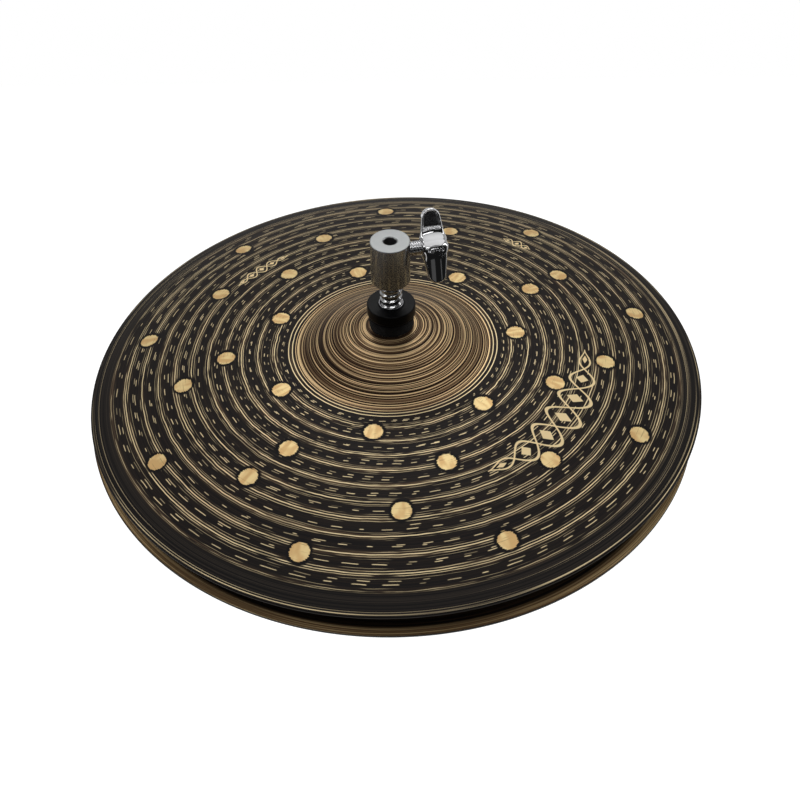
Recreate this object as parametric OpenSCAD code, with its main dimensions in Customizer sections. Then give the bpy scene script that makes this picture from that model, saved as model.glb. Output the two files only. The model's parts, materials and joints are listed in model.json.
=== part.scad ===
// Hi-hat: two thin cymbals that face each other on one vertical axis, and the clutch that carries the
// upper one. Z is the axis of the stand's pull rod. Z = 0 is the lip of the hole in the lower
// cymbal's bell, which sits on the stand. The stand and its rod aren't part of the object.

/* [Cymbals] */
// Radius of both cymbals
rim_r = 177.8; // [150:0.1:190]
// Radius of the hole in each bell
hole_r = 6.5; // [6.4:0.02:6.5]
// Height of the bell's crown above the rim plane
crown_h = 32; // [30:0.5:34]
// Radius of the bell's spherical crown
crown_r = 101.5; // [98:0.5:106]
// Radius of the fillet between the bell and the bow
fillet_r = 12; // [8:0.5:16]
// Distance from the axis at which the bow runs level
bow_level_r = 56; // [54:0.5:58]
// Radius of the bow's arc in section
bow_r = 444; // [430:1:460]
// Thickness of the upper cymbal
top_t = 1.2; // [0.9:0.1:1.5]
// Thickness of the lower cymbal, the heavier of the pair
bottom_t = 1.5; // [1.2:0.1:1.8]

/* [Rest position] */
// Gap between the two rim planes on the axis
gap = 17; // [14:0.5:25]
// Tilt of the upper cymbal on its felts, with its right side up
rest_tilt = 1.8; // [0:0.1:2.4]

/* [Clutch] */
// Radius of the bore for the pull rod
bore_r = 3.5; // [3.3:0.05:3.6]
// Radius of the clutch body
body_r = 10.85; // [10:0.05:12]
// Height of the clutch body
body_h = 29.7; // [28:0.1:32]
// Height of the clutch body's underside above the seat
body_z = 27.5; // [27:0.1:30]
// Radius of the upper thread
upper_thread_r = 6.3; // [6.2:0.05:6.4]
// Radius of the lower thread, which passes through the cymbal
lower_thread_r = 5.2; // [5:0.05:5.2]
// How far the tube reaches below the seat
tube_drop = 20; // [19:0.5:24]

/* [Nuts and felts] */
// Radius of the upper nut
upper_nut_r = 13.75; // [13:0.05:14]
// Height of the upper nut
upper_nut_h = 6.5; // [5:0.1:7]
// Radius of the upper felt
upper_felt_r = 12.7; // [11:0.1:13]
// Radius of the lower nut
lower_nut_r = 11; // [10:0.1:12]
// Height of the lower nut
lower_nut_h = 8.4; // [7:0.1:9]
// Number of finger grooves around the lower nut
nut_grooves = 20; // [12:1:28]
// Radius of the lower felt
lower_felt_r = 11.5; // [10:0.1:12]

/* [Wing screw] */
// Height of the wing screw's axis above the seat
screw_z = 50; // [46:0.5:51]
// Direction of the wing screw around the clutch, from X towards Y
screw_az = 12; // [0:1:359]
// Turn of the wing about its own axis
wing_turn = 26; // [0:1:90]
// Radius of the screw's thread
screw_r = 4; // [3.5:0.05:4]
// Distance from the rod axis to the wing's inner face
wing_x = 17.7; // [16:0.1:18]
// Width of the wing along the screw
wing_w = 12.9; // [12.5:0.1:14]
// Distance from the screw's axis to the tip of each lobe
wing_reach = 20.2; // [19:0.1:22]
// Width of each lobe at its tip
tip_w = 10.2; // [9.4:0.1:12]
// Thickness of each lobe
lobe_t = 5.8; // [5:0.1:7]
// How far each lobe's middle stands off the screw's axis
lobe_off = 2.4; // [0:0.1:2.8]

/* [Hidden] */
$fn = 96;
run_fit = 0.05;    // radial clearance of each running thread
slip = 0.1;        // gap between faces that turn on each other
cut = 1;           // how far a cutter runs past the face that it cuts

bell_c = [0, crown_h - crown_r];
bow_c = [bow_level_r, -sqrt(pow(bow_r, 2) - pow(rim_r - bow_level_r, 2))];
fillet_c = meet(bell_c, crown_r + fillet_r, bow_c, bow_r + fillet_r);
lip_h = bell_c.y + sqrt(pow(crown_r, 2) - pow(hole_r, 2));
seat_z = 2 * lip_h + gap;

sleeve_r = hole_r - 0.08;
sleeve_bore_r = lower_thread_r + 0.2;
sleeve_flange_r = 9;
sleeve_flange_h = 0.7;
sleeve_top = 1;
shoulder_z = 7.2;
socket_h = 8.5;

upper_felt_h = 7;
upper_washer_z = upper_felt_h + 0.6;
upper_washer_r = 12;
washer_h = 0.8;
upper_nut_z = upper_washer_z + washer_h + slip;
insert_r = 7;
insert_stand = 0.6;

flange_z = -top_t - 0.15 - sleeve_flange_h;
lower_felt_h = 5.4;
lower_felt_z = flange_z - slip - lower_felt_h;
lower_washer_z = lower_felt_z - 0.5 - washer_h;
lower_nut_z = lower_washer_z - slip - lower_nut_h;
lock_r = 7.2;
lock_h = 2.2;
groove_r = 1.1;

pad_r = 3.5;
pad_x = bore_r + 0.2;
pad_w = 2.5;
nose_r = 1.5;
nose_w = 1.4;
shank_end = wing_x + 10.4;
hub_r = 5.3;
tip_r = 4.6;
lobe_back_r = 12;
dish_low = 9.6;
dish_depth = 1.4;
dish_border = 1;

// The crossing of two circles that lies farther from the axis
function meet(a, ra, b, rb) =
    let (span = norm(b - a), u = (b - a) / span,
         along = (ra * ra - rb * rb + span * span) / (2 * span),
         aside = sqrt(ra * ra - along * along))
    a + along * u + aside * [-u.y, u.x];

// Points of an arc about c, from angle a0 to a1; the first point is left out unless from = 0
function arc(c, r, a0, a1, steps, from = 1) =
    [for (i = [from:steps]) let (a = a0 + (a1 - a0) * i / steps) c + r * [cos(a), sin(a)]];

function heading(a, b) = atan2(b.y - a.y, b.x - a.x);

// Outer line of a cymbal's section, from the lip of its hole to its rim
function section() = concat(
    arc(bell_c, crown_r, acos(hole_r / crown_r), heading(bell_c, fillet_c), 8, 0),
    arc(fillet_c, fillet_r, heading(fillet_c, bell_c), heading(fillet_c, bow_c), 5),
    arc(bow_c, bow_r, heading(bow_c, fillet_c), acos((rim_r - bow_level_r) / bow_r), 12));

// A cymbal with its rim plane at Z = 0 and its bell up
module cymbal(t) {
    outer = section();
    inner = [for (i = [len(outer) - 1:-1:0]) outer[i] - [0, t]];
    rotate_extrude() polygon(concat(outer, inner));
}

// A ring about Z from z0 to z1
module ring(z0, z1, outer, inner) {
    translate([0, 0, z0]) difference() {
        cylinder(r = outer, h = z1 - z0);
        translate([0, 0, -cut]) cylinder(r = inner, h = z1 - z0 + 2 * cut);
    }
}

// Level with the clutch, measured from the lip of the upper cymbal's hole
module on_clutch() translate([0, 0, seat_z]) children();

// Tilted with the upper cymbal about the same point
module on_cymbal() on_clutch() rotate([0, -rest_tilt, 0]) children();

// X along the wing screw, away from the rod, and Z along the wing
module on_screw() on_clutch() translate([0, 0, screw_z]) rotate([0, 0, screw_az]) children();

// A rod along X from x0 to x1
module x_rod(x0, x1, r) translate([x0, 0, 0]) rotate([0, 90, 0]) cylinder(r = r, h = x1 - x0);

module bottom_cymbal() color([0.24, 0.19, 0.13])
    translate([0, 0, lip_h]) rotate([180, 0, 0]) cymbal(bottom_t);

module top_cymbal() color([0.30, 0.24, 0.16])
    on_cymbal() translate([0, 0, -lip_h]) cymbal(top_t);

// Chromed collar with the rod's bore, a socket for the tube and the tapped hole of the wing screw
module clutch_body() color([0.82, 0.83, 0.85]) difference() {
    top = body_z + body_h;
    taper_h = 4.2;
    edge = 0.5;
    mouth = 0.6;
    on_clutch() rotate_extrude() polygon([
        [upper_thread_r, body_z], [upper_thread_r + 0.8, body_z], [body_r, body_z + taper_h],
        [body_r, top - edge], [body_r - edge, top], [bore_r + mouth, top], [bore_r, top - mouth],
        [bore_r, body_z + socket_h], [upper_thread_r, body_z + socket_h]]);
    on_screw() x_rod(0, body_r + cut, screw_r + run_fit);
}

// Tube pressed into the body, with a wide thread above the seat and a narrow one through it
module threaded_tube() color([0.78, 0.79, 0.81]) on_clutch() rotate_extrude() polygon([
    [bore_r, -tube_drop], [lower_thread_r - 0.5, -tube_drop], [lower_thread_r, 0.5 - tube_drop],
    [lower_thread_r, shoulder_z], [upper_thread_r, shoulder_z],
    [upper_thread_r, body_z + socket_h], [bore_r, body_z + socket_h]]);

// Brass pad on the screw's nose: it bears on the rod and doesn't turn
module clamp_pad() color([0.80, 0.66, 0.34]) on_screw() difference() {
    x_rod(pad_x, pad_x + pad_w, pad_r);
    x_rod(pad_x + pad_w - nose_w, pad_x + pad_w + cut, nose_r + slip);
}

module clamp_screw() color([0.80, 0.81, 0.83]) on_screw() {
    shoulder_x = pad_x + pad_w + 2 * slip;
    x_rod(shoulder_x - nose_w, shoulder_x, nose_r);
    x_rod(shoulder_x, shank_end, screw_r);
}

// Outline of one lobe, broad at the hub and rounded at its tip
module lobe_outline() translate([wing_x + wing_w / 2, 0]) hull() {
    translate([-wing_w / 2, 0]) square([wing_w, wing_reach / 3]);
    for (side = [-1, 1])
        translate([side * (tip_w / 2 - tip_r), wing_reach - tip_r]) circle(r = tip_r, $fn = 32);
}

// Outline of the dish, a border inside the lobe's outline
module dish_outline() intersection() {
    offset(delta = -dish_border) lobe_outline();
    translate([wing_x, dish_low]) square([wing_w, wing_reach]);
}

// An outline in the wing's plane, extruded from y0 to y1
module upright(y0, y1) translate([0, y1, 0]) rotate([90, 0, 0]) linear_extrude(y1 - y0) children();

// One lobe, with a crowned back and a thumb dish in its front face
module lobe() translate([0, lobe_off, 0]) difference() {
    intersection() {
        upright(-lobe_t / 2, lobe_t / 2) lobe_outline();
        translate([wing_x + wing_w / 2, lobe_t / 2 - lobe_back_r, 0]) cylinder(r = lobe_back_r, h = wing_reach);
    }
    upright(-lobe_t / 2 - cut, dish_depth - lobe_t / 2) dish_outline();
}

// Cast wing: the two lobes are alike under a half turn about the screw
module wing_handle() color([0.84, 0.85, 0.87]) on_screw() rotate([-wing_turn, 0, 0]) difference() {
    union() {
        x_rod(wing_x, wing_x + wing_w, hub_r);
        lobe();
        rotate([180, 0, 0]) lobe();
    }
    x_rod(wing_x - cut, shank_end, screw_r);
}

module upper_washer() color([0.62, 0.63, 0.65])
    on_clutch() ring(upper_washer_z, upper_washer_z + washer_h, upper_washer_r, upper_thread_r + 0.3);

module upper_nut() color([0.06, 0.06, 0.06]) on_clutch() {
    top = upper_nut_z + upper_nut_h;
    edge = 0.8;
    rotate_extrude() polygon([
        [insert_r, upper_nut_z], [upper_nut_r - edge / 2, upper_nut_z],
        [upper_nut_r, upper_nut_z + edge / 2], [upper_nut_r, top - edge],
        [upper_nut_r - edge, top], [insert_r, top]]);
}

// Steel thread moulded into the upper nut: its rim stands a little above the nut
module upper_nut_insert() color([0.75, 0.76, 0.78]) on_clutch()
    ring(upper_nut_z, upper_nut_z + upper_nut_h + insert_stand, insert_r, upper_thread_r + run_fit);

module upper_felt() color([0.07, 0.07, 0.07])
    on_cymbal() ring(slip, upper_felt_h, upper_felt_r, sleeve_r + 0.3);

// Nylon sleeve between the tube and the cymbal's hole, with a flange under the cymbal
module hole_sleeve() color([0.88, 0.87, 0.82]) on_cymbal() difference() {
    union() {
        translate([0, 0, flange_z]) cylinder(r = sleeve_r, h = sleeve_top - flange_z);
        translate([0, 0, flange_z]) cylinder(r = sleeve_flange_r, h = sleeve_flange_h - slip);
    }
    translate([0, 0, flange_z - cut]) cylinder(r = sleeve_bore_r, h = sleeve_top - flange_z + 2 * cut);
}

module lower_felt() color([0.07, 0.07, 0.07])
    on_cymbal() ring(lower_felt_z, lower_felt_z + lower_felt_h, lower_felt_r, sleeve_bore_r + 0.5);

module lower_washer() color([0.62, 0.63, 0.65])
    on_clutch() ring(lower_washer_z, lower_washer_z + washer_h, lower_felt_r, lower_thread_r + 0.3);

// Grooved finger nut with a counterbore for its nylon lock ring
module lower_nut() color([0.80, 0.81, 0.83]) on_clutch() difference() {
    ring(lower_nut_z, lower_nut_z + lower_nut_h, lower_nut_r, lower_thread_r + run_fit);
    translate([0, 0, lower_nut_z - cut]) cylinder(r = lock_r, h = lock_h + cut);
    for (i = [0:nut_grooves - 1])
        rotate([0, 0, 360 * i / nut_grooves])
            translate([lower_nut_r + groove_r / 2, 0, lower_nut_z - cut])
                cylinder(r = groove_r, h = lower_nut_h + 2 * cut, $fn = 24);
}

module lower_nut_lock_ring() color([0.20, 0.32, 0.62])
    on_clutch() ring(lower_nut_z, lower_nut_z + lock_h, lock_r, lower_thread_r + run_fit / 2);

bottom_cymbal();
clutch_body();
threaded_tube();
clamp_pad();
clamp_screw();
wing_handle();
upper_washer();
upper_nut();
upper_nut_insert();
upper_felt();
hole_sleeve();
lower_felt();
top_cymbal();
lower_washer();
lower_nut();
lower_nut_lock_ring();
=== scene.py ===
"""The look of a hi hat: two lathed and hammered cymbals, and the clutch that carries the upper one.

Places are in metres in the model's own frame: Z runs up the pull rod, X to the right, Y away from the viewer.
Outlines and patterns are drawn in millimetres, with heights counted from the lip of the upper cymbal's hole.
"""
import json
import math

import bpy
import numpy as np
from mathutils import Matrix, Vector


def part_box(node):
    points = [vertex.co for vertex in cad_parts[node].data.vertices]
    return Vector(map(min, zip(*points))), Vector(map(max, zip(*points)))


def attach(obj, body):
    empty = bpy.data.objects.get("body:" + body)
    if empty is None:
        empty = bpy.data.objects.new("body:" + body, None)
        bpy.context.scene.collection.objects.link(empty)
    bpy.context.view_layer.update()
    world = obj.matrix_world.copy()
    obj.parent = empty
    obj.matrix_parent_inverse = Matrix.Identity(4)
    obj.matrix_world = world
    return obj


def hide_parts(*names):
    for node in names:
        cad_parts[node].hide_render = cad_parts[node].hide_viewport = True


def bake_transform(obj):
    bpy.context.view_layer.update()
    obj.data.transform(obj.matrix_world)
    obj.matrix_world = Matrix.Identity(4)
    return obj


MM = 0.001
TURN = 2 * math.pi

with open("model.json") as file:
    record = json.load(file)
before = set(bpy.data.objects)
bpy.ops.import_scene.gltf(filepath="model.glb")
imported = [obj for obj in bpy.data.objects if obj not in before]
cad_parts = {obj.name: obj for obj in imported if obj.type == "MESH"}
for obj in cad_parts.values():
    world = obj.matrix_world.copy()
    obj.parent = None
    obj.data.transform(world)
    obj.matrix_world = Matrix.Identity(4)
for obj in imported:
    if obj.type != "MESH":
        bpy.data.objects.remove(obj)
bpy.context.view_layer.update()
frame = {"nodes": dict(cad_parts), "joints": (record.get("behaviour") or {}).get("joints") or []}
joints = {joint["name"]: joint for joint in frame["joints"]}

# ---------------------------------------------------------------- places that the frame gives

SEAT = Vector(joints["cymbal_rock"]["pos_m"])
SPIN_AXIS = Vector(joints["cymbal_spin"]["axis"])
LEVEL = Matrix.Translation(SEAT)
TILTED = LEVEL @ Vector((0, 0, 1)).rotation_difference(SPIN_AXIS).to_matrix().to_4x4()

SCREW_OUT = -Vector(joints["wing_turn"]["axis"])
SCREW_PLACE = Vector(joints["wing_turn"]["pos_m"])
SCREW_TURN = math.atan2(SCREW_OUT.y, SCREW_OUT.x)
ON_SCREW = Matrix.Translation(SCREW_PLACE) @ Matrix.Rotation(SCREW_TURN, 4, "Z")
SCREW_SPINDLE = ON_SCREW @ Matrix.Rotation(math.pi / 2, 4, "Y")


def extent(node):
    """A level turned node's outer radius, and its lowest and highest point above the seat, in mm."""
    low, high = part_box(node)
    return (high.x - low.x) / 2 / MM, (low.z - SEAT.z) / MM, (high.z - SEAT.z) / MM


RIM = extent("bottom_cymbal")[0]

# ---------------------------------------------------------------- the cymbals' section, in mm

HOLE = 6.5
CROWN = 32.0
BELL = 101.5
FILLET = 12.0
BOW = 444.0
BOW_LEVEL = 56.0
TOP_METAL = 1.2
BOTTOM_METAL = 1.5
EDGE_ROUND = 0.25
LIP = (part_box("bottom_cymbal")[1].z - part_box("bottom_cymbal")[0].z) / MM - BOTTOM_METAL

BELL_CENTRE = Vector((0, CROWN - BELL))
BOW_CENTRE = Vector((BOW_LEVEL, -math.sqrt(BOW**2 - (RIM - BOW_LEVEL) ** 2)))


def crossing(a, a_radius, b, b_radius):
    """The crossing of two circles that lies farther from the axis."""
    span = (b - a).length
    unit = (b - a) / span
    along = (a_radius**2 - b_radius**2 + span**2) / (2 * span)
    aside = math.sqrt(a_radius**2 - along**2)
    return a + along * unit + aside * Vector((-unit.y, unit.x))


FILLET_CENTRE = crossing(BELL_CENTRE, BELL + FILLET, BOW_CENTRE, BOW + FILLET)
BELL_ENDS = FILLET_CENTRE.x * BELL / (BELL + FILLET)
BOW_STARTS = BOW_CENTRE.x + (FILLET_CENTRE.x - BOW_CENTRE.x) * BOW / (BOW + FILLET)


def cymbal_height(radius):
    """Height of the outer face above the rim plane, for an array of radii."""
    bell = BELL_CENTRE.y + np.sqrt(np.maximum(BELL**2 - radius**2, 0))
    dip = FILLET_CENTRE.y - np.sqrt(np.maximum(FILLET**2 - (radius - FILLET_CENTRE.x) ** 2, 0))
    bow = BOW_CENTRE.y + np.sqrt(BOW**2 - (radius - BOW_CENTRE.x) ** 2)
    return np.where(radius < BELL_ENDS, bell, np.where(radius < BOW_STARTS, dip, bow))


# ---------------------------------------------------------------- the hammered pattern, in mm

ROWS_FROM = 68.8
ROW_PITCH = 9.75
ROWS_LOW = 62.5
ROWS_HIGH = 166.5
DIMPLES = 66
STAGGER = 0.618
DIMPLE_ACROSS = 0.38
DIMPLE_ALONG = 0.32
DIMPLE_DEPTH = 0.10
SPOT_RADIUS = 5.15
SPOT_DEPTH = 0.12
BELL_EDGE = 56.5
BELL_LINES = (58.5, 60.7)
BAND_EDGE = 165.5
RIM_LINE = 176.6
# Radii on the inner face where the painted shade of the bowl turns into the painted light of the band by the
# rim
SHADE_TO_LIGHT_RADII = (170.5, 174.5)
# Rings of gold spots: how many, at what radius, and the first one's angle from X towards the viewer
SPOT_RINGS = [(7, 72.2, 47.0), (7, 97.4, 22.0), (9, 122.65, 8.2), (9, 150.0, 28.2)]


def hammering(angle, radius):
    """Depth of the hammer dimples and of the spots' flats below the outer face."""
    turn = angle / TURN
    row = (radius - ROWS_FROM) / ROW_PITCH
    across = row % 1 - 0.5
    along = (turn * DIMPLES + np.floor(row) * STAGGER) % 1 - 0.5
    size = (np.abs(across / DIMPLE_ACROSS) ** 3 + np.abs(along / DIMPLE_ALONG) ** 3) ** (1 / 3)
    hammered = (radius > ROWS_LOW) & (radius < ROWS_HIGH)
    depth = DIMPLE_DEPTH * np.clip(1.15 - size, 0, 1) * hammered
    for count, ring, first in SPOT_RINGS:
        aside = ((turn * count + first * count / 360 + 0.5) % 1 - 0.5) * TURN * ring / count
        distance = np.hypot(aside, radius - ring)
        depth = np.where(distance < SPOT_RADIUS, SPOT_DEPTH, depth)
    return depth


# ---------------------------------------------------------------- meshes


def moved(points, place):
    """An array of points carried by a matrix."""
    matrix = np.array(place)
    return points @ matrix[:3, :3].T + matrix[:3, 3]


def shaded(mesh, angle=38):
    """Smooth shading that breaks at edges sharper than the angle."""
    mesh.polygons.foreach_set("use_smooth", [True] * len(mesh.polygons))
    mesh.set_sharp_from_angle(angle=math.radians(angle))
    mesh.update()
    return mesh


def shell(name, grid, capped=False, radial=None):
    """A closed mesh over a grid of points, rows by columns, joined up round its columns.

    Its rows join up too, unless flat caps close it. radial is each row's place in the map of turns and radii.
    """
    rows, columns = grid.shape[:2]
    row, column = np.meshgrid(np.arange(rows - 1 if capped else rows), np.arange(columns), indexing="ij")
    next_row = (row + 1) % rows
    next_column = (column + 1) % columns
    corners = [row * columns + column, row * columns + next_column,
               next_row * columns + next_column, next_row * columns + column]
    faces = np.stack(corners, axis=-1).reshape(-1, 4).tolist()
    if capped:
        faces.append(list(range(columns - 1, -1, -1)))
        faces.append(list(range((rows - 1) * columns, rows * columns)))
    mesh = bpy.data.meshes.new(name)
    mesh.from_pydata(grid.reshape(-1, 3).tolist(), [], faces)
    if radial is not None:
        turns = np.stack([column, column + 1, column + 1, column], axis=-1) / columns
        radii = np.stack([radial[row], radial[row], radial[next_row], radial[next_row]], axis=-1)
        layer = mesh.uv_layers.new(name="polar")
        layer.data.foreach_set("uv", np.stack([turns, radii], axis=-1).ravel())
    return shaded(mesh)


def eased(outline, cut, steps=4):
    """The same closed outline with each corner rounded, and a support point on each side of it."""
    points = []
    for before, corner, after in zip(outline[-1:] + outline[:-1], outline, outline[1:] + outline[:1]):
        corner = Vector(corner)
        back = Vector(before) - corner
        ahead = Vector(after) - corner
        if back.angle(-ahead) < math.radians(12):
            points.append(tuple(corner))
            continue
        size = min(cut, 0.38 * back.length, 0.38 * ahead.length)
        start = corner + back.normalized() * size
        end = corner + ahead.normalized() * size
        points.append(tuple(start + back.normalized() * size * 0.25))
        for step in range(steps + 1):
            t = step / steps
            points.append(tuple(start * (1 - t) ** 2 + corner * 2 * t * (1 - t) + end * t * t))
        points.append(tuple(end + ahead.normalized() * size * 0.25))
    return points


def divided(outline, step, closed=True):
    """The same outline with points along it no farther apart than the step."""
    points = []
    ends = outline[1:] + outline[:1] if closed else outline[1:]
    for start, end in zip(outline, ends):
        parts = max(1, math.ceil((Vector(end) - Vector(start)).length / step))
        points += [tuple(Vector(start).lerp(Vector(end), part / parts)) for part in range(parts)]
    return points if closed else points + [outline[-1]]


def turned(name, outline, place, columns=96, relief=None, capped=False):
    """A solid of revolution from (radius, height) points in mm, which run anticlockwise."""
    angle = np.linspace(0, TURN, columns, endpoint=False)[None, :]
    radius, height = np.array(outline, float).T[:, :, None]
    radius = radius + (relief(angle, radius, height) if relief else 0 * angle)
    height = height + 0 * angle
    grid = np.stack([radius * np.cos(angle), radius * np.sin(angle), height], axis=-1) * MM
    return shell(name, moved(grid, place), capped)


def ring_outline(inner, outer, low, high):
    return [(inner, low), (outer, low), (outer, high), (inner, high)]


def thread(pitch, depth, core, low, high):
    """Relief of a rounded thread, cut between two heights where the radius is over the core's."""

    def relief(angle, radius, height):
        wave = np.clip(0.5 - 0.8 * np.cos(TURN * height / pitch - angle), 0, 1)
        starting = np.clip((height - low) / (0.4 * pitch), 0, 1)
        ending = np.clip((high - height) / (0.4 * pitch), 0, 1)
        run_in = starting * ending
        return -depth * wave * run_in * (radius > core)

    return relief


def piece(mesh, body, slot, nodes, *materials):
    """A piece with its body, its materials and the CAD nodes it stands for. The slot argument, the material
    slot it is finished in, is not used.
    """
    made = bpy.data.objects.new(mesh.name, mesh)
    bpy.context.scene.collection.objects.link(made)
    for material in materials:
        mesh.materials.append(material)
    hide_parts(*nodes)
    if body:
        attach(made, body)
    return made


def evaluated(made, name):
    """A new mesh of the object with its modifiers applied; the object itself is removed."""
    depsgraph = bpy.context.evaluated_depsgraph_get()
    mesh = bpy.data.meshes.new_from_object(made.evaluated_get(depsgraph))
    mesh.name = name
    bpy.data.objects.remove(made)
    return mesh


def loose(mesh):
    """An object for a mesh that only helps to make another."""
    made = bpy.data.objects.new(mesh.name, mesh)
    bpy.context.scene.collection.objects.link(made)
    return made


def without(mesh, cutter_mesh):
    """The mesh with the cutter's space taken out of it."""
    made, cutter = loose(mesh), loose(cutter_mesh)
    hole = made.modifiers.new("hole", "BOOLEAN")
    hole.operation = "DIFFERENCE"
    hole.solver = "EXACT"
    hole.object = cutter
    result = evaluated(made, mesh.name)
    bpy.data.objects.remove(cutter)
    return shaded(result)


# ---------------------------------------------------------------- shader nodes


def colour(red, green, blue):
    """A linear colour from the display values 0 to 255 that it should show as."""
    shown = [channel / 255 for channel in (red, green, blue)]
    linear = [c / 12.92 if c <= 0.04045 else ((c + 0.055) / 1.055) ** 2.4 for c in shown]
    return (*linear, 1.0)


class Value:
    """A number in a shader. Arithmetic on it adds Math nodes."""

    def __init__(self, shader, socket):
        self.shader = shader
        self.socket = socket

    def math(self, operation, *others):
        return self.shader.math(operation, self, *others)

    def __add__(self, other):
        return self.math("ADD", other)

    def __sub__(self, other):
        return self.math("SUBTRACT", other)

    def __rsub__(self, other):
        return self.shader.math("SUBTRACT", other, self)

    def __mul__(self, other):
        return self.math("MULTIPLY", other)

    def __truediv__(self, other):
        return self.math("DIVIDE", other)

    def __pow__(self, other):
        return self.math("POWER", other)

    def __abs__(self):
        return self.math("ABSOLUTE")

    def fract(self):
        return self.math("FRACT")

    def floor(self):
        return self.math("FLOOR")

    def step(self, low, high):
        """0 before low and 1 after high with a smooth rise between; it falls where low is above high."""
        if low > high:
            return 1 - self.step(high, low)
        ramp = self.shader.node("ShaderNodeMapRange", interpolation_type="SMOOTHSTEP")
        self.shader.join(self, ramp.inputs["Value"])
        ramp.inputs["From Min"].default_value = low
        ramp.inputs["From Max"].default_value = high
        return Value(self.shader, ramp.outputs["Result"])


class Shader:
    """One material, with short calls for its nodes."""

    def __init__(self, name, **uniform):
        self.material = bpy.data.materials.new(name)
        self.material.use_nodes = True
        self.tree = self.material.node_tree
        self.surface = self.tree.nodes["Principled BSDF"]
        for socket, value in uniform.items():
            self.surface.inputs[socket.replace("_", " ")].default_value = value

    def node(self, kind, **settings):
        made = self.tree.nodes.new(kind)
        for setting, value in settings.items():
            setattr(made, setting, value)
        return made

    def join(self, value, socket):
        if isinstance(value, Value):
            self.tree.links.new(value.socket, socket)
        else:
            socket.default_value = value

    def math(self, operation, *values):
        made = self.node("ShaderNodeMath", operation=operation)
        for value, socket in zip(values, made.inputs):
            self.join(value, socket)
        return Value(self, made.outputs[0])

    def vector(self, x, y, z):
        made = self.node("ShaderNodeCombineXYZ")
        for value, socket in zip((x, y, z), made.inputs):
            self.join(value, socket)
        return Value(self, made.outputs[0])

    def parts(self, vector):
        made = self.node("ShaderNodeSeparateXYZ")
        self.join(vector, made.inputs[0])
        return [Value(self, socket) for socket in made.outputs]

    def place(self):
        """The point's x, y and z in mm, which move with the piece."""
        made = self.node("ShaderNodeTexCoord")
        return [part / MM for part in self.parts(Value(self, made.outputs["Object"]))]

    def polar(self):
        """Turns round the cymbal, from 0 to 1, and the radius in mm."""
        made = self.node("ShaderNodeUVMap", uv_map="polar")
        turn, radius, _ = self.parts(Value(self, made.outputs["UV"]))
        return turn, radius * RIM

    def noise(self, vector, detail=2.0, roughness=0.5):
        made = self.node("ShaderNodeTexNoise")
        self.join(vector, made.inputs["Vector"])
        made.inputs["Scale"].default_value = 1.0
        made.inputs["Detail"].default_value = detail
        made.inputs["Roughness"].default_value = roughness
        return Value(self, made.outputs[0])

    def chance(self, x, y):
        """Three random numbers for each pair of whole numbers."""
        made = self.node("ShaderNodeTexWhiteNoise", noise_dimensions="2D")
        self.join(self.vector(x, y, 0.0), made.inputs["Vector"])
        return self.parts(Value(self, made.outputs["Color"]))

    def mix(self, amount, first, second):
        made = self.node("ShaderNodeMix", data_type="RGBA")
        self.join(amount, made.inputs["Factor"])
        self.join(first, made.inputs[6])
        self.join(second, made.inputs[7])
        return Value(self, made.outputs[2])

    def bump(self, height, distance, strength=1.0):
        """Height from 0 to 1, over a distance in mm."""
        made = self.node("ShaderNodeBump")
        made.inputs["Strength"].default_value = strength
        made.inputs["Distance"].default_value = distance * MM
        self.join(height, made.inputs["Height"])
        self.tree.links.new(made.outputs["Normal"], self.surface.inputs["Normal"])

    def set(self, **values):
        for socket, value in values.items():
            self.join(value, self.surface.inputs[socket.replace("_", " ")])
        return self.material


# ---------------------------------------------------------------- materials of the cymbals

COAT = colour(17, 14, 15)
COAT_WORN = colour(104, 84, 64)
GOLD_LINE = colour(240, 218, 172)
GOLD_SPOT = colour(236, 210, 152)
SPOT_DULL = colour(214, 176, 120)
SCRATCH = colour(128, 92, 54)
BELL_DARK = colour(26, 18, 14)
BELL_MID = colour(98, 75, 54)
BELL_LIGHT = colour(226, 196, 148)
INK = colour(238, 214, 164)
EDGE_DARK = colour(16, 14, 14)
EDGE_LIGHT = colour(46, 40, 35)


# Printed ornaments: the middle's turn and radius, how many lozenges, how far apart, and half the height
ORNAMENTS = [(0.905, 111.0, 7, 16.5, 10.0), (0.378, 117.0, 5, 8.5, 4.0), (0.142, 130.0, 3, 7.0, 3.6)]


def marks(shader, turn, radius):
    """Plain printed ornaments: two crossing waves with lozenges between them. They stand for no real mark."""
    printed = 0.0
    for centre_turn, ring, count, gap, tall in ORNAMENTS:
        around = ((turn - centre_turn + 0.5).fract() - 0.5) * (TURN * ring)
        across = radius - ring
        half = count * gap / 2
        taper = (1 - (around / half) ** 2).math("MAXIMUM", 0.02)
        swing = (around * (math.pi / gap)).math("COSINE") * taper * tall
        stroke = taper * (tall * 0.075) + 0.25
        waves = abs(abs(across) - abs(swing)) - stroke
        cell = abs((around / gap + 0.5).fract() - 0.5) / 0.20
        lozenge = cell + abs(across) / (taper * tall * 0.52)
        drawn = waves.step(0.18, -0.18).math("MAXIMUM", lozenge.step(1.06, 0.94))
        printed = (drawn * abs(around).step(half + 0.1, half - 0.1)).math("MAXIMUM", printed)
    return printed


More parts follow.
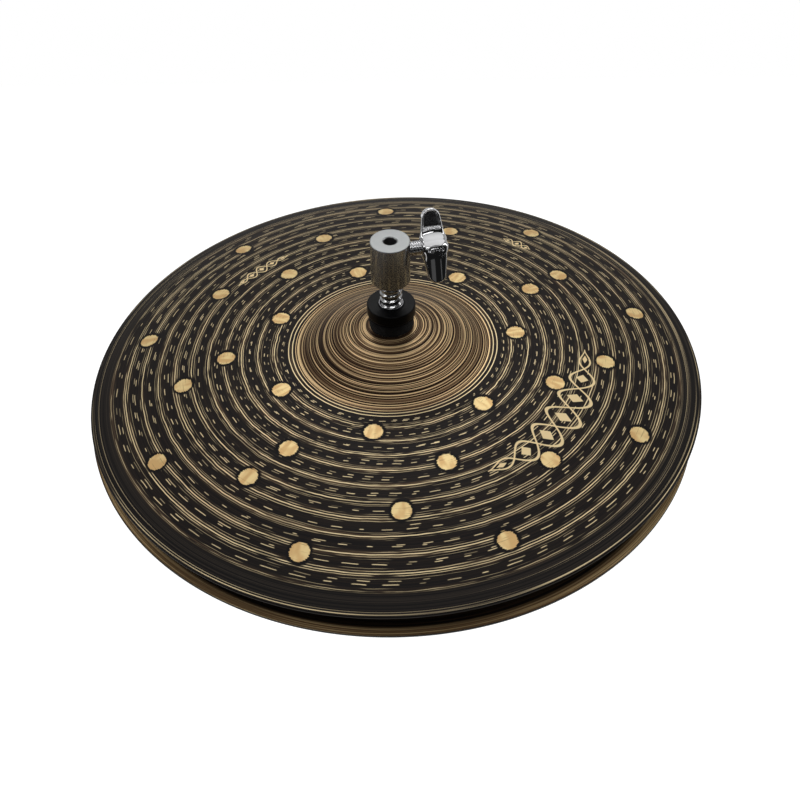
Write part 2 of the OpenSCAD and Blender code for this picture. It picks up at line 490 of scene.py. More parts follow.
def lathed_bronze(name, seed, printed):
    """A cymbal's outer face: a dark coat, gold lathe lines, dashes between hammer marks, and gold spots."""
    shader = Shader(name, Specular_IOR_Level=0.10, Anisotropic=0.4)
    turn, radius = shader.polar()
    cosine = (turn * TURN).math("COSINE")
    sine = (turn * TURN).math("SINE")

    def noise(around, across, offset=0.0, detail=2.0):
        """Noise with about so many cells round the cymbal per radian, and one cell per so many mm across."""
        place = shader.vector(cosine * around + offset, sine * around + seed, radius / across)
        return shader.noise(place, detail)

    def stripe(off, middle, half_width):
        """1 along a line that lies at so many mm from where off is 0."""
        return (abs(off - middle) - half_width).step(0.16, -0.10)

    # rows of hammer marks: wavy bright lines part them, with thinner ones beside each
    sway = (noise(4, 40, 0.0, 1.0) - 0.5) * 1.2 + (noise(15, 7, 4.0, 1.0) - 0.5) * 0.8
    row = (radius + sway - ROWS_FROM) / ROW_PITCH
    limit = (row + 0.5).floor()
    off_limit = (row - limit) * ROW_PITCH
    above, below, strength = shader.chance(limit, seed)
    worn = noise(9, 2.0, 5.0)
    bright_line = stripe(off_limit, 0.0, 0.22) * (worn.step(0.30, 0.52) * 0.6 + 0.4)
    upper_line = stripe(off_limit, above * 0.8 + 0.85, 0.12) * noise(7, 3.0, 13.0).step(0.38, 0.54)
    lower_line = stripe(off_limit, -0.85 - below * 0.8, 0.12) * noise(7, 3.0, 17.0).step(0.38, 0.54)
    outer_line = stripe(abs(off_limit), strength * 0.6 + 2.1, 0.05) * noise(5, 2.0, 37.0).step(0.46, 0.60)
    beside = upper_line.math("MAXIMUM", lower_line) * (strength * 0.5 + 0.4)
    line = bright_line.math("MAXIMUM", beside).math("MAXIMUM", outer_line * 0.6)

    # dashes between the hammer marks of each row, one or two deep
    cell = turn * DIMPLES + row.floor() * STAGGER + 0.5
    off_middle = (row.fract() - 0.5) * ROW_PITCH + (strength - 0.5) * 1.0

    def dashes(side, shift, faintest, strongest):
        """One of a row's two lines of dashes. Each dash has its own length and strength."""
        place = cell + shift
        length, shown, _ = shader.chance(place.floor().math("MODULO", DIMPLES), row.floor() + seed + shift)
        nearby = abs(place.fract() - 0.5) - (length * 0.22 + 0.07)
        return stripe(off_middle, side, 0.17) * shown.step(faintest, strongest) * nearby.step(0.045, -0.03)

    dash = dashes(0.7, 0.07, -0.3, 0.5).math("MAXIMUM", dashes(-0.7, -0.06, 0.25, 0.9)) * (worn * 0.8 + 0.5)
    rows = radius.step(ROWS_LOW, ROWS_LOW + 1) * radius.step(ROWS_HIGH, ROWS_HIGH - 1)

    # gold spots, with a whole coat round each
    nearest = 99.0
    for count, ring, first_spot in SPOT_RINGS:
        aside = ((turn * count + first_spot * count / 360 + 0.5).fract() - 0.5) * (TURN * ring / count)
        distance = (aside * aside + (radius - ring) * (radius - ring)).math("SQRT")
        nearest = distance.math("MINIMUM", nearest)
    ragged = nearest + (noise(9, 0.5, 2.0, 1.0) - 0.5) * 1.9
    spot = ragged.step(SPOT_RADIUS + 0.15, SPOT_RADIUS - 0.15)
    halo = (nearest + (noise(18, 6, 3.0) - 0.5) * 4).step(SPOT_RADIUS + 2.8, SPOT_RADIUS + 1.2)

    raised = 1 - halo
    bow = radius.step(BELL_EDGE, BELL_EDGE + 1)
    edge = radius.step(BAND_EDGE, BAND_EDGE + 2)
    fine = noise(1.6, 0.42, 7.0, 3.0).step(0.32, 0.72)
    bright = line.math("MAXIMUM", dash) * rows * raised
    cluster = abs(off_limit).step(2.6, 0.8) * noise(3, 14, 19.0).step(0.38, 0.62)

    bow_colour = shader.mix(fine * (cluster * 0.75 + 0.10) * raised, COAT, COAT_WORN)
    bow_colour = shader.mix(bright.math("MINIMUM", 1.0), bow_colour, GOLD_LINE)

    # the band by the rim: fine dark turning, with a few thin gold lines
    turning = noise(0.5, 0.5, 23.0, 1.0)
    edge_colour = shader.mix(turning.step(0.40, 0.62), EDGE_DARK, EDGE_LIGHT)
    edge_colour = shader.mix(turning.step(0.66, 0.70) * 0.5, edge_colour, GOLD_LINE)
    rim_line = stripe(radius, RIM_LINE, 0.15) * noise(2, 9.0, 41.0).step(0.4, 0.6)
    edge_colour = shader.mix(rim_line, edge_colour, GOLD_LINE)

    # the bell and the two bright lines round it
    grooves = noise(0.22, 0.72, 11.0, 1.0) * 0.5 + noise(0.3, 0.34, 21.0, 1.0) * 0.5
    bell_colour = shader.mix(grooves.step(0.43, 0.51), BELL_DARK, BELL_MID)
    bell_colour = shader.mix(grooves.step(0.52, 0.58), bell_colour, BELL_LIGHT)
    inner_ring, outer_ring = (stripe(radius + sway * 0.3, ring, 0.22) for ring in BELL_LINES)
    collar = inner_ring.math("MAXIMUM", outer_ring)

    mixed = shader.mix(edge, bow_colour, edge_colour)
    mixed = shader.mix(bow, bell_colour, mixed)
    mixed = shader.mix(collar, mixed, GOLD_LINE)

    scratches = noise(12, 0.5, 29.0, 2.0)
    spot_colour = shader.mix(noise(30, 9, 31.0, 1.0).step(0.35, 0.65), GOLD_SPOT, SPOT_DULL)
    spot_colour = shader.mix(scratches.step(0.60, 0.72) * 0.6, spot_colour, SCRATCH)
    mixed = shader.mix(spot, mixed, spot_colour)

    bare = bright.math("MAXIMUM", collar) * 0.55
    bare = (bare * bow).math("MAXIMUM", spot * 0.45).math("MAXIMUM", (1 - bow) * 0.62)
    if printed:
        ink = marks(shader, turn, radius)
        mixed = shader.mix(ink, mixed, INK)
        bare = bare * (1 - ink)
    relief = line * rows * raised * 0.5 + fine * 0.25 + (1 - bow) * grooves * 0.9 - scratches * spot * 0.3
    shader.bump(relief, 0.05)
    tangent = shader.node("ShaderNodeTangent", direction_type="UV_MAP", uv_map="polar")
    shader.join(Value(shader, tangent.outputs["Tangent"]), shader.surface.inputs["Tangent"])
    return shader.set(Base_Color=mixed, Metallic=bare, Roughness=0.47 - bare * 0.14 + fine * 0.06)


def inner_bronze(name, seed):
    """A cymbal's inner face: turned all over, darker in the bowl as painted shade, and lighter and golden
    near the rim as painted light.
    """
    shader = Shader(name, Specular_IOR_Level=0.1, Anisotropic=0.4)
    turn, radius = shader.polar()
    cosine = (turn * TURN).math("COSINE") * 1.5
    sine = (turn * TURN).math("SINE") * 1.5 + seed
    grooves = shader.noise(shader.vector(cosine, sine, radius / 0.8), 3.0)
    coarse = shader.noise(shader.vector(cosine, sine, radius / 3.5), 1.0)
    lines = grooves.step(0.42, 0.66) * (coarse.step(0.3, 0.7) * 0.6 + 0.4)
    # Painted shade and light: the bowl's colours are darkened as if shaded between the cymbals, and the band
    # by the rim is lightened and gilded as if lit
    lit_rim_band = radius.step(*SHADE_TO_LIGHT_RADII)
    dark = shader.mix(lit_rim_band, colour(16, 13, 11), colour(120, 96, 68))
    light = shader.mix(lit_rim_band, colour(72, 58, 43), colour(255, 224, 168))
    shader.bump(grooves, 0.05)
    tangent = shader.node("ShaderNodeTangent", direction_type="UV_MAP", uv_map="polar")
    shader.join(Value(shader, tangent.outputs["Tangent"]), shader.surface.inputs["Tangent"])
    bare = lines * (0.5 - lit_rim_band * 0.4)
    return shader.set(Base_Color=shader.mix(lines, dark, light), Metallic=bare, Roughness=0.52 - lines * 0.12)


# ---------------------------------------------------------------- materials of the clutch


def plated(name, tone, roughness, marks_depth, turning=0.0):
    """Plated or bare metal, with faint smears and marks. turning adds fine lines round the rod's axis."""
    shader = Shader(name, Metallic=1.0)
    x, y, z = shader.place()
    smears = shader.noise(shader.vector(x / 6, y / 6, z / 9), 4.0)
    specks = shader.noise(shader.vector(x * 1.8, y * 1.8, z * 1.8), 2.0)
    worn = shader.mix(smears, tone, tuple(channel * 0.86 for channel in tone[:3]) + (1.0,))
    height = specks * 0.25
    if turning:
        radius = (x * x + y * y).math("SQRT")
        rings = shader.noise(shader.vector(radius * 5.0, 0.0, z * 5.0), 2.0)
        height = height + rings * turning
    shader.bump(height, marks_depth)
    return shader.set(Base_Color=worn, Roughness=smears * 0.10 + (roughness - 0.03))


def moulded(name, tone, worn_tone, roughness, **uniform):
    """Moulded plastic: a fine pebbled skin, scuffed where it is handled."""
    shader = Shader(name, **uniform)
    x, y, z = shader.place()
    skin = shader.noise(shader.vector(x * 3.2, y * 3.2, z * 3.2), 3.0)
    scuffs = shader.noise(shader.vector(x * 0.9, y * 0.9, z * 6.0), 4.0).step(0.60, 0.74)
    shader.bump(skin, 0.03)
    mixed = shader.mix(scuffs * 0.5, tone, worn_tone)
    return shader.set(Base_Color=mixed, Roughness=scuffs * 0.15 + roughness)


def pressed_felt(name):
    """Dense black felt: matted fibres with lighter flecks."""
    shader = Shader(name, Specular_IOR_Level=0.1, Sheen_Weight=0.06, Sheen_Roughness=0.6, Roughness=0.95)
    x, y, z = shader.place()
    matting = shader.noise(shader.vector(x * 1.1, y * 1.1, z * 2.2), 6.0, 0.7)
    fibres = shader.noise(shader.vector(x * 6.0, y * 2.0, z * 9.0), 3.0, 0.6)
    flecks = fibres.step(0.62, 0.76)
    shader.bump(matting * 0.7 + fibres * 0.5, 0.35)
    dark = shader.mix(matting, colour(5, 5, 6), colour(20, 19, 19))
    return shader.set(Base_Color=shader.mix(flecks * 0.4, dark, colour(52, 50, 48)))


CHROME = plated("chrome", (0.42, 0.42, 0.43, 1.0), 0.20, 0.001)
TUBE_CHROME = plated("tube_chrome", (0.46, 0.46, 0.46, 1.0), 0.17, 0.001)
FACED_CHROME = plated("faced_chrome", (0.36, 0.37, 0.37, 1.0), 0.38, 0.01, 1.0)
# The bore's chrome has a darker tone, which is painted shade inside the rod's hole; its rougher turned finish
# is real
BORE_SHADE_CHROME = plated("bore_shade_chrome", (0.30, 0.30, 0.31, 1.0), 0.40, 0.02, 1.0)
WING_CHROME = plated("wing_chrome", (0.70, 0.70, 0.71, 1.0), 0.06, 0.003)
SCREW_STEEL = plated("screw_steel", (0.60, 0.60, 0.61, 1.0), 0.16, 0.008)
WASHER_STEEL = plated("washer_steel", (0.60, 0.61, 0.63, 1.0), 0.28, 0.02, 0.8)
PAD_BRASS = plated("pad_brass", (0.78, 0.60, 0.28, 1.0), 0.30, 0.02)
NUT_PLASTIC = moulded("nut_plastic", colour(7, 7, 8), colour(26, 26, 27), 0.32, Specular_IOR_Level=0.1)
INSERT_STEEL = plated("insert_steel", (0.34, 0.34, 0.35, 1.0), 0.22, 0.01)
NYLON = moulded("nylon", colour(222, 219, 208), colour(200, 195, 180), 0.42, Subsurface_Weight=0.2,
                Subsurface_Scale=0.002)
LOCK_NYLON = moulded("lock_nylon", colour(44, 78, 150), colour(80, 108, 168), 0.40)
FELT = pressed_felt("felt")

# ---------------------------------------------------------------- the cymbals

CYMBAL_COLUMNS = 400
OUTER_ROWS = 200
INNER_ROWS = 30


def cymbal(name, metal, place):
    """A closed cymbal with its rim plane at height 0, and the faces of its inner side set to material 1."""
    outer_radii = np.linspace(RIM - EDGE_ROUND, HOLE + EDGE_ROUND, OUTER_ROWS)
    inner_radii = np.linspace(HOLE + EDGE_ROUND, RIM - EDGE_ROUND, INNER_ROWS)
    angle = np.linspace(0, TURN, CYMBAL_COLUMNS, endpoint=False)[None, :]
    outer_height = cymbal_height(outer_radii)[:, None] - hammering(angle, outer_radii[:, None])
    inner_height = cymbal_height(inner_radii)[:, None] - metal + 0 * angle

    def lips(radius, steps):
        """The rounded edge between the faces, as (radius, drop below the outer face) pairs."""
        return [(radius, drop) for drop in steps]

    hole_edge = lips(HOLE, (EDGE_ROUND, metal - EDGE_ROUND))
    rim_edge = lips(RIM, (metal - EDGE_ROUND, EDGE_ROUND))
    edges = hole_edge + rim_edge
    edge_rows = [[radius, float(cymbal_height(np.array(radius))) - drop] for radius, drop in edges]
    edges = np.array(edge_rows)[:, :, None] + 0 * angle[None]

    radius = np.concatenate([outer_radii[:, None] + 0 * angle, edges[:2, 0],
                             inner_radii[:, None] + 0 * angle, edges[2:, 0]])
    height = np.concatenate([outer_height, edges[:2, 1], inner_height, edges[2:, 1]])
    grid = np.stack([radius * np.cos(angle), radius * np.sin(angle), height], axis=-1) * MM
    mesh = shell(name, moved(grid, place), radial=radius[:, 0] / RIM)
    inner_side = np.zeros((len(radius), CYMBAL_COLUMNS), int)
    inner_side[OUTER_ROWS + 1:OUTER_ROWS + 1 + INNER_ROWS] = 1
    mesh.polygons.foreach_set("material_index", inner_side.ravel())
    return mesh


upper_place = TILTED @ Matrix.Translation((0, 0, -LIP * MM))
lower_place = Matrix.Translation((0, 0, LIP * MM)) @ Matrix.Rotation(math.pi, 4, "X")
upper_mesh = cymbal("upper_cymbal_bronze", TOP_METAL, upper_place)
lower_mesh = cymbal("lower_cymbal_bronze", BOTTOM_METAL, lower_place)
piece(upper_mesh, "upper_cymbal", "upper_bronze", ["top_cymbal"],
      lathed_bronze("upper_lathed", 3.0, True), inner_bronze("upper_inner", 2.0))
piece(lower_mesh, "lower_cymbal", "lower_bronze", ["bottom_cymbal"],
      lathed_bronze("lower_lathed", 17.0, False), inner_bronze("lower_inner", 8.0))

# ---------------------------------------------------------------- the clutch body and its tube

ROD_BORE = 3.5
UPPER_THREAD = 6.3
LOWER_THREAD = 5.2
UPPER_PITCH = 4.0
UPPER_DEPTH = 1.0
LOWER_PITCH = 1.5
LOWER_DEPTH = 0.55
SHOULDER = 7.2
SOCKET = 8.5
TAPER = 4.2
SCREW_RADIUS = 4.0
SCREW_PITCH = 1.25

body_radius, body_low, body_high = extent("clutch_body")
tube_low = extent("threaded_tube")[1]
tube_high = body_low + SOCKET

body_outline = [
    (UPPER_THREAD + 0.02, body_low), (UPPER_THREAD + 0.8, body_low), (body_radius, body_low + TAPER),
    (body_radius, body_high), (ROD_BORE + 0.6, body_high), (ROD_BORE, body_high - 0.6),
    (ROD_BORE, tube_high), (UPPER_THREAD + 0.02, tube_high)]
hole_outline = [(SCREW_RADIUS + 0.05, 0.5), (SCREW_RADIUS + 0.05, body_radius - 0.9),
                (SCREW_RADIUS + 0.9, body_radius + 0.3), (SCREW_RADIUS + 0.9, body_radius + 3)]
screw_hole = turned("screw_hole", hole_outline, SCREW_SPINDLE, 64, capped=True)
body_mesh = without(turned("clutch_collar", eased(body_outline, 0.5), LEVEL, 128), screw_hole)
body = piece(body_mesh, "clutch", "chrome", ["clutch_body"], CHROME, FACED_CHROME, BORE_SHADE_CHROME)
for face in body_mesh.polygons:
    if face.normal.z > 0.3:
        face.material_index = 1
    # Faces in the rod's bore take the darker chrome: painted shade inside the hole
    elif math.hypot(face.center.x, face.center.y) / MM < ROD_BORE + 0.3:
        face.material_index = 2

tube_outline = eased([
    (ROD_BORE, tube_low), (LOWER_THREAD - 0.5, tube_low), (LOWER_THREAD, tube_low + 0.5),
    (LOWER_THREAD, SHOULDER), (UPPER_THREAD, SHOULDER), (UPPER_THREAD, tube_high),
    (ROD_BORE, tube_high)], 0.3)
upper_cut = thread(UPPER_PITCH, UPPER_DEPTH, LOWER_THREAD + 0.3, SHOULDER, body_low + 1)
lower_cut = thread(LOWER_PITCH, LOWER_DEPTH, ROD_BORE + 1, tube_low, 1.0)


def tube_thread(angle, radius, height):
    return np.where(height > 1.0, upper_cut(angle, radius, height), lower_cut(angle, radius, height))


tube_mesh = turned("threaded_tube_steel", divided(tube_outline, 0.14), LEVEL, 96, tube_thread)
piece(tube_mesh, "clutch", "chrome", ["threaded_tube"], TUBE_CHROME)

# ---------------------------------------------------------------- the nuts, washers and sleeve

INSERT_RADIUS = 7.0
NUT_EDGE = 0.8

nut_radius, nut_low, nut_high = extent("upper_nut")
nut_outline = [(INSERT_RADIUS + 0.01, nut_low), (nut_radius, nut_low), (nut_radius, nut_high),
               (INSERT_RADIUS + 0.01, nut_high)]
nut_mesh = turned("upper_nut_plastic", eased(nut_outline, NUT_EDGE, 6), LEVEL, 128)
piece(nut_mesh, "upper_nut", "nut_plastic", ["upper_nut"], NUT_PLASTIC)

insert_low, insert_high = extent("upper_nut_insert")[1:]
insert_outline = ring_outline(UPPER_THREAD + 0.05, INSERT_RADIUS, insert_low, insert_high)
insert_mesh = turned("upper_nut_thread_insert", eased(insert_outline, 0.25), LEVEL)
piece(insert_mesh, "upper_nut", "chrome", ["upper_nut_insert"], INSERT_STEEL)

for name, node, bore in (("upper_washer_steel", "upper_washer", UPPER_THREAD),
                         ("lower_washer_steel", "lower_washer", LOWER_THREAD)):
    washer_radius, washer_low, washer_high = extent(node)
    washer_outline = ring_outline(bore + 0.3, washer_radius, washer_low, washer_high)
    piece(turned(name, eased(washer_outline, 0.2), LEVEL), node, "washer_steel", [node], WASHER_STEEL)

NUT_GROOVES = 20
GROOVE_RADIUS = 1.1
LOCK_RADIUS = 7.2

finger_radius, finger_low, finger_high = extent("lower_nut")
lock_low, lock_high = extent("lower_nut_lock_ring")[1:]


def finger_grooves(angle, radius, height):
    """Round grooves down the nut's side."""
    groove_centre = finger_radius + GROOVE_RADIUS / 2
    off = ((angle / TURN * NUT_GROOVES + 0.5) % 1 - 0.5) * TURN / NUT_GROOVES
    aside = groove_centre * np.sin(off)
    chord = np.sqrt(np.maximum(GROOVE_RADIUS**2 - aside**2, 0))
    wall = np.where(np.abs(aside) < GROOVE_RADIUS, groove_centre * np.cos(off) - chord, radius)
    return np.minimum(wall - radius, 0) * (radius > finger_radius - 1.5)


finger_outline = [(LOWER_THREAD + 0.05, lock_high), (LOCK_RADIUS + 0.01, lock_high),
                  (LOCK_RADIUS + 0.01, finger_low), (finger_radius, finger_low),
                  (finger_radius, finger_high), (LOWER_THREAD + 0.05, finger_high)]
finger_mesh = turned("lower_nut_steel", divided(eased(finger_outline, 0.4), 1.2), LEVEL, 480, finger_grooves)
piece(finger_mesh, "lower_nut", "chrome", ["lower_nut"], CHROME)
lock_outline = ring_outline(LOWER_THREAD + 0.025, LOCK_RADIUS, lock_low, lock_high)
lock_mesh = turned("lock_ring_nylon", eased(lock_outline, 0.2), LEVEL)
piece(lock_mesh, "lower_nut", "lock_nylon", ["lower_nut_lock_ring"], LOCK_NYLON)

SLEEVE_RADIUS = 6.42
SLEEVE_BORE = 5.4
SLEEVE_FLANGE = 9.0
FLANGE_LOW = -2.05
FLANGE_HIGH = -1.45
SLEEVE_HIGH = 1.0

sleeve_outline = [(SLEEVE_BORE, FLANGE_LOW), (SLEEVE_FLANGE, FLANGE_LOW), (SLEEVE_FLANGE, FLANGE_HIGH),
                  (SLEEVE_RADIUS, FLANGE_HIGH), (SLEEVE_RADIUS, SLEEVE_HIGH), (SLEEVE_BORE, SLEEVE_HIGH)]
sleeve_mesh = turned("hole_sleeve_nylon", eased(sleeve_outline, 0.15), TILTED)
piece(sleeve_mesh, "felts", "nylon", ["hole_sleeve"], NYLON)

# ---------------------------------------------------------------- the felts

FELT_COLUMNS = 180
FELT_ROUND = 0.7
FELT_BULGE = 0.25
FELT_FUZZ = 0.10


def felt(name, inner, outer, level_height, tilted_height, node, seed):
    """A felt washer from a level face against the washer to a tilted face against the cymbal.

    tilted_height gives the cymbal's side at each radius. Its shape leans from the level face to the tilted
    one.
    """
    wall = np.linspace(0, 1, 13)
    web = np.linspace(0, 1, 8)[1:-1]
    sides = [(outer, t) for t in wall] + [(outer + (inner - outer) * w, 1.0) for w in web]
    sides += [(inner, t) for t in wall[::-1]] + [(inner + (outer - inner) * w, 0.0) for w in web]
    radius, share = np.array(sides).T[:, :, None]
    outside = radius > (inner + outer) / 2
    near_face = np.minimum(share, 1 - share) * abs(level_height - tilted_height(outer))
    corner = FELT_ROUND * np.clip(1 - near_face / FELT_ROUND, 0, 1) ** 2
    bulge = FELT_BULGE * 4 * share * (1 - share)
    on_wall = (radius == outer) | (radius == inner)
    radius = radius + np.where(outside, bulge - corner, corner * 0.5) * on_wall
    angle = np.linspace(0, TURN, FELT_COLUMNS, endpoint=False)[None, :]
    fuzz = np.random.RandomState(seed).normal(0, FELT_FUZZ, (len(sides), FELT_COLUMNS))
    fuzz = (fuzz + np.roll(fuzz, 1, axis=1) + np.roll(fuzz, 2, axis=1)) / 2
    radius = radius + np.clip(fuzz, -0.2, 0.2) * (on_wall & outside)
    x, y = radius * np.cos(angle), radius * np.sin(angle)
    level = moved(np.stack([x, y, level_height + 0 * x], axis=-1) * MM, LEVEL)
    tilted = moved(np.stack([x, y, tilted_height(radius) + 0 * x], axis=-1) * MM, TILTED)
    level_share = share if level_height > tilted_height(outer) else 1 - share
    grid = tilted + (level - tilted) * level_share[:, :, None]
    made = piece(shell(name, grid), None, "felt", [node], FELT)
    SEAT + Vector((0, 0, float(tilted_height(outer)) * MM))
    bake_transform(made)
    return made


def on_bell(radius):
    """Height of the bell's outer face, with a hair of clearance."""
    return cymbal_height(np.asarray(radius, float)) - LIP + 0.05


def under_flange(radius):
    return FLANGE_LOW - 0.05 + 0 * np.asarray(radius, float)


washer_underside = extent("upper_washer")[1]
lower_washer_top = extent("lower_washer")[2]
felt("upper_felt_pad", SLEEVE_RADIUS + 0.3, 12.45, washer_underside - 0.05, on_bell, "upper_felt", 4)
felt("lower_felt_pad", SLEEVE_BORE + 0.5, 11.25, lower_washer_top + 0.05, under_flange, "lower_felt", 9)

# ---------------------------------------------------------------- the wing screw and its pad

PAD_FROM = 3.7
PAD_TO = 6.2
PAD_RADIUS = 3.5
NOSE_RADIUS = 1.5
SHANK_FROM = 6.4
SHANK_TO = 28.1

pad_outline = [(PAD_RADIUS - 0.2, PAD_FROM), (PAD_RADIUS, PAD_FROM + 0.2), (PAD_RADIUS, PAD_TO - 0.2),
            (PAD_RADIUS - 0.2, PAD_TO), (NOSE_RADIUS + 0.1, PAD_TO), (NOSE_RADIUS + 0.1, PAD_FROM + 1.1)]
pad_mesh = turned("clamp_pad_brass", pad_outline, SCREW_SPINDLE, 48, capped=True)
piece(pad_mesh, "clamp_pad", "pad_brass", ["clamp_pad"], PAD_BRASS)

screw_outline = [(NOSE_RADIUS - 0.2, SHANK_FROM - 1.4), (NOSE_RADIUS, SHANK_FROM - 1.2),
                 (NOSE_RADIUS, SHANK_FROM),
                 (SCREW_RADIUS - 0.6, SHANK_FROM), (SCREW_RADIUS, SHANK_FROM + 0.6), (SCREW_RADIUS, SHANK_TO)]
screw_thread = thread(SCREW_PITCH, 0.55, NOSE_RADIUS + 1, SHANK_FROM, SHANK_TO - 9)
screw_points = divided(screw_outline, 0.11, closed=False)
screw_mesh = turned("clamp_screw_steel", screw_points, SCREW_SPINDLE, 72, screw_thread, capped=True)
piece(screw_mesh, "wing_screw", "screw_steel", ["clamp_screw"], SCREW_STEEL)

# The wing is a smooth cast form: a hub and two alike lobes, blended together, with a dish in each

WING_FROM = 17.7
WING_WIDTH = 12.9
WING_REACH = 20.2
WING_LEAN = math.radians(-26)
HUB_RADIUS = 5.3
HUB_CROWN = 20.0
TIP_WIDTH = 10.2
TIP_RADIUS = 4.6
LOBE_THICK = 5.8
LOBE_OFF = 2.4
LOBE_BACK = 12.0
LOBE_TAPER = 0.10
LOBE_ROUND = 1.2
LOBE_BLEND = 4.5
DISH_LOW = 9.6
DISH_DEPTH = 1.4
DISH_BORDER = 1.0
DISH_ROUND = 0.8
WING_VOXEL = 0.00034

wing_middle = WING_FROM + WING_WIDTH / 2


def lobe_outline():
    """The upper lobe's outline in (x, z): a right half from the hub to a round tip, and its mirror image."""
    tip = Vector((TIP_WIDTH / 2 - TIP_RADIUS, WING_REACH - TIP_RADIUS))
    shoulder = Vector((WING_WIDTH / 2, WING_REACH / 3))
    toward = shoulder - tip
    start = math.atan2(toward.y, toward.x) + math.acos(TIP_RADIUS / toward.length)
    arc = [start + (math.pi / 2 - start) * step / 12 for step in range(13)]
    half = [(WING_WIDTH / 2, 0), tuple(shoulder)]
    half += [(tip.x + TIP_RADIUS * math.cos(a), tip.y + TIP_RADIUS * math.sin(a)) for a in arc]
    return [(wing_middle + x, z) for x, z in half] + [(wing_middle - x, z) for x, z in half[::-1]]


def polygon_distance(x, z, outline):
    """Signed distance to a convex polygon whose points run anticlockwise."""
    nearest = np.full(x.shape, 1e9)
    inside = np.full(x.shape, -1e9)
    for (ax, az), (bx, bz) in zip(outline, outline[1:] + outline[:1]):
        dx, dz = bx - ax, bz - az
        length = math.hypot(dx, dz)
        t = np.clip(((x - ax) * dx + (z - az) * dz) / length**2, 0, 1)
        nearest = np.minimum(nearest, np.hypot(x - ax - t * dx, z - az - t * dz))
        inside = np.maximum(inside, ((x - ax) * dz - (z - az) * dx) / length)
    return np.where(inside < 0, -nearest, nearest)


def rounded(a, b, radius):
    """Distance to where two shapes overlap, with the edge between them rounded."""
    a, b = a + radius, b + radius
    return np.hypot(np.maximum(a, 0), np.maximum(b, 0)) + np.minimum(np.maximum(a, b), 0) - radius


def joined(a, b, size):
    """Distance to two shapes together, with a fillet between them."""
    h = np.clip(0.5 + 0.5 * (b - a) / size, 0, 1)
    return b + (a - b) * h - size * h * (1 - h)


def lobe_distance(x, y, z, outline):
    """Signed distance to one lobe: a flat front with a dish, and a crowned back."""
    side = polygon_distance(x, z, outline)
    front = -(y - LOBE_OFF) - LOBE_THICK / 2
    back_face = LOBE_OFF + LOBE_THICK / 2 + LOBE_TAPER * (WING_REACH / 2 - z)
    back = np.hypot(x - wing_middle, y - back_face + LOBE_BACK) - LOBE_BACK
    lobe = np.maximum(rounded(side, front, LOBE_ROUND), rounded(side, back, LOBE_ROUND))
    window = rounded(side + DISH_BORDER, DISH_LOW - z, DISH_ROUND)
    dish = rounded(window, -front - DISH_DEPTH, DISH_ROUND)
    return -joined(-lobe, dish, 0.5)


def wing_distance(points):
    """Signed distance to the wing, in mm, in the screw's frame with the wing upright."""
    x, y, z = points.T
    outline = lobe_outline()
    barrel = HUB_RADIUS - HUB_CROWN + np.sqrt(HUB_CROWN**2 - np.clip(x - wing_middle, -10, 10) ** 2)
    hub = rounded(np.hypot(y, z) - barrel, np.abs(x - wing_middle) - WING_WIDTH / 2, 0.8)
    lobes = np.minimum(lobe_distance(x, y, z, outline), lobe_distance(x, -y, -z, outline))
    bore = rounded(np.hypot(y, z) - SCREW_RADIUS, x - SHANK_TO, 0.1)
    return -joined(-joined(hub, lobes, LOBE_BLEND), bore, 0.4)


def wing_mesh():
    """The CAD wing's mesh, remeshed evenly and drawn on to the smooth form."""
    rough = loose(frame["nodes"]["wing_handle"].data.copy())
    remesh = rough.modifiers.new("even", "REMESH")
    remesh.mode = "VOXEL"
    remesh.voxel_size = WING_VOXEL
    mesh = evaluated(rough, "wing_handle_cast")
    place = ON_SCREW @ Matrix.Rotation(WING_LEAN, 4, "X")
    points = np.empty(len(mesh.vertices) * 3)
    mesh.vertices.foreach_get("co", points)
    points = moved(points.reshape(-1, 3), place.inverted()) / MM
    for _ in range(8):
        distance = wing_distance(points)
        slopes = [(wing_distance(points + step) - distance) / 0.01 for step in np.eye(3) * 0.01]
        slope = np.stack(slopes, axis=-1)
        steepness = np.maximum((slope**2).sum(axis=-1), 0.2)
        points = points - slope * (distance / steepness)[:, None] * 0.9
    mesh.vertices.foreach_set("co", moved(points * MM, place).ravel())
    mesh.materials.clear()
    mesh.polygons.foreach_set("material_index", [0] * len(mesh.polygons))
    return shaded(mesh, 70)


piece(wing_mesh(), "wing_screw", "wing_chrome", ["wing_handle"], WING_CHROME)

# ---------------------------------------------------------------- floor, light and camera

FLOOR_DROP = 0.9
FLOOR_HALF = 2.2
FLOOR_GLOW = 1.0
CAMERA_LENS = 46.54
CAMERA_DOWN = 44.217
CAMERA_ROLL = -0.705
CAMERA_PLACE = (0.00433, -0.45553, 0.46218)
# Lamps: name, width, depth, place, what it faces, watts
SEAT_POINT = tuple(SEAT)
LAMPS = [
    ("overhead_front", 0.9, 0.10, (0.0, -0.70, 1.25), SEAT_POINT, 2.2),
    ("overhead_back", 0.9, 0.16, (0.0, 1.0, 1.25), SEAT_POINT, 3.6),
    ("front_panel", 1.6, 0.35, (0.0, -1.5, 0.9), SEAT_POINT, 0.9),
    ("left_strip", 0.22, 1.2, (-1.1, -0.1, 0.7), SEAT_POINT, 3),
    ("right_strip", 0.22, 1.2, (1.1, 0.1, 0.7), SEAT_POINT, 3),
    ("left_glint", 0.45, 0.9, (0.08, -1.25, 0.35), SEAT_POINT, 0.09),
    ("right_glint", 0.12, 0.9, (0.95, -1.0, 0.35), SEAT_POINT, 0.03),
    ("floor_wash", 3.0, 3.0, (0.0, 0.4, 2.6), (0, 0, 0), 18),
]


def lamp(name, width, depth, place, aim, power):
    data = bpy.data.lights.new(name, "AREA")
    data.shape = "RECTANGLE"
    data.size = width
    data.size_y = depth
    data.energy = power
    made = bpy.data.objects.new(name, data)
    made.location = place
    made.rotation_euler = (Vector(aim) - Vector(place)).to_track_quat("-Z", "Y").to_euler()
    bpy.context.scene.collection.objects.link(made)


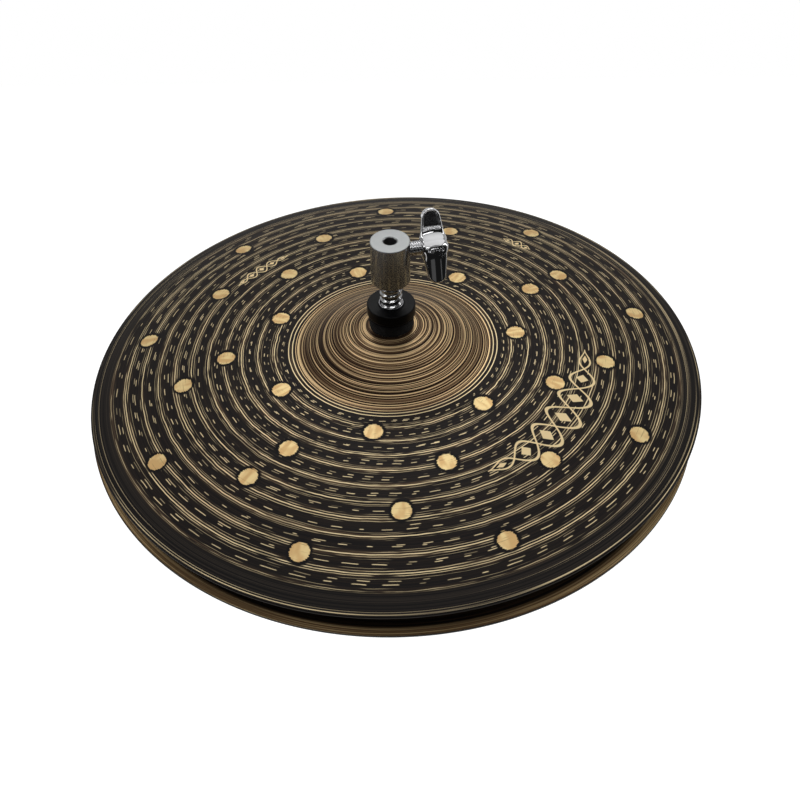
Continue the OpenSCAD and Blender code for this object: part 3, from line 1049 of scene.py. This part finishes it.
def floor():
    mesh = bpy.data.meshes.new("floor")
    corners = [(-1, -1), (1, -1), (1, 1), (-1, 1)]
    points = [(x * FLOOR_HALF, y * FLOOR_HALF, -FLOOR_DROP) for x, y in corners]
    mesh.from_pydata(points, [], [(0, 1, 2, 3)])
    made = loose(mesh)
    shader = Shader("floor", Roughness=0.9, Specular_IOR_Level=0.1, Emission_Color=(1, 1, 1, 1),
                    Emission_Strength=FLOOR_GLOW)
    x, y, z = shader.place()
    paper = shader.noise(shader.vector(x / 40, y / 40, z), 3.0)
    grey = shader.mix(paper, colour(150, 150, 150), colour(156, 156, 156))
    mesh.materials.append(shader.set(Base_Color=grey))


def sky():
    """A white backdrop, whose light and reflections are pale behind the object and dark in front of it."""
    world = bpy.data.worlds.new("studio")
    bpy.context.scene.world = world
    world.use_nodes = True
    tree = world.node_tree
    direction = tree.nodes.new("ShaderNodeTexCoord")
    parts = tree.nodes.new("ShaderNodeSeparateXYZ")
    ramp = tree.nodes.new("ShaderNodeMapRange")
    ramp.inputs["From Min"].default_value = -0.35
    ramp.inputs["From Max"].default_value = 0.6
    ramp.inputs["To Min"].default_value = 0.01
    ramp.inputs["To Max"].default_value = 0.50
    path = tree.nodes.new("ShaderNodeLightPath")
    seen = tree.nodes.new("ShaderNodeMath")
    seen.operation = "MAXIMUM"
    tree.links.new(direction.outputs["Generated"], parts.inputs[0])
    tree.links.new(parts.outputs["Y"], ramp.inputs["Value"])
    tree.links.new(ramp.outputs["Result"], seen.inputs[0])
    tree.links.new(path.outputs["Is Camera Ray"], seen.inputs[1])
    tree.links.new(seen.outputs[0], tree.nodes["Background"].inputs["Strength"])
    tree.nodes["Background"].inputs["Color"].default_value = (1, 1, 1, 1)


def camera():
    data = bpy.data.cameras.new("camera")
    data.lens = CAMERA_LENS
    data.sensor_width = 36
    made = bpy.data.objects.new("camera", data)
    look_down = math.radians(90 - CAMERA_DOWN)
    roll = math.radians(CAMERA_ROLL)
    made.matrix_world = (Matrix.Translation(CAMERA_PLACE)
                         @ Matrix.Rotation(look_down, 4, "X") @ Matrix.Rotation(roll, 4, "Z"))
    bpy.context.scene.collection.objects.link(made)
    bpy.context.scene.camera = made


floor()
sky()
camera()
for lamp_facts in LAMPS:
    lamp(*lamp_facts)
bpy.context.scene.view_settings.view_transform = "Standard"
